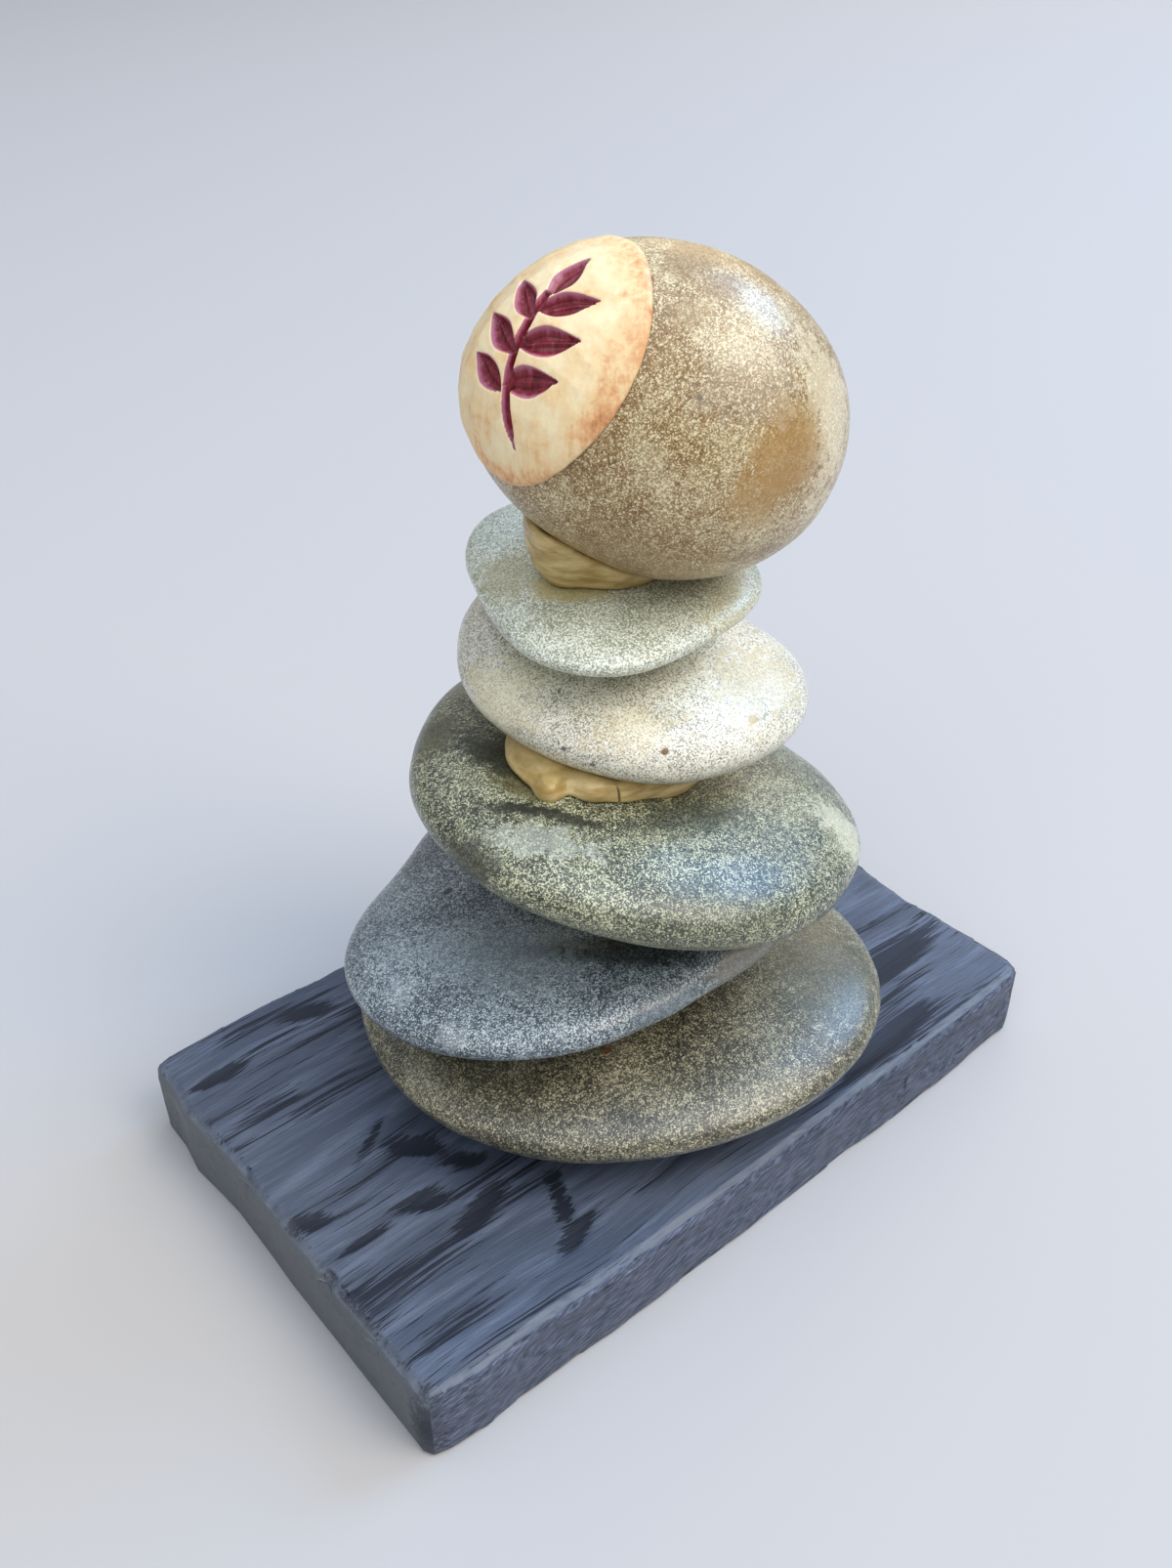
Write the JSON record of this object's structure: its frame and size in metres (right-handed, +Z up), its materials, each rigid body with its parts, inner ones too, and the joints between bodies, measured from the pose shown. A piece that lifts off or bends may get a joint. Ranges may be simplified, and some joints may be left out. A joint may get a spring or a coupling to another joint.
{
  "type": "stone cairn",
  "caption": "Balanced cairn of worn river stones, glued one on another and fixed to a painted wooden board, with an oval clay plaque on the round stone at the top.",
  "frame": {"origin": "middle of the board's flat underside, on the surface that the cairn stands on", "axes": "+X along the board's length and its grain, +Y across the board, +Z up the stack; the plaque looks towards -X and up"},
  "size_m": [0.1799, 0.1156, 0.1953],
  "materials": {
    "painted_wood": "satin blue-grey paint worn over dark grain",
    "olive_stone": "waxed river stone",
    "blue_grey_stone": "waxed river stone",
    "speckled_stone": "waxed river stone",
    "cream_stone": "worn river stone",
    "pale_green_stone": "worn river stone",
    "tan_stone": "worn river stone",
    "painted_clay": "satin painted clay",
    "glue": "satin putty"
  },
  "bodies": {
    "root": {"wood_base": "painted_wood", "glue_base": "glue", "bottom_stone": "olive_stone", "glue_slate": "glue", "slate_stone": "blue_grey_stone", "glue_speckled": "glue", "speckled_stone": "speckled_stone", "glue_cream": "glue", "cream_stone": "cream_stone", "glue_pale": "glue", "pale_green_stone": "pale_green_stone", "glue_top": "glue", "top_stone": "tan_stone", "clay_plaque": "painted_clay"}
  },
  "joints": []
}
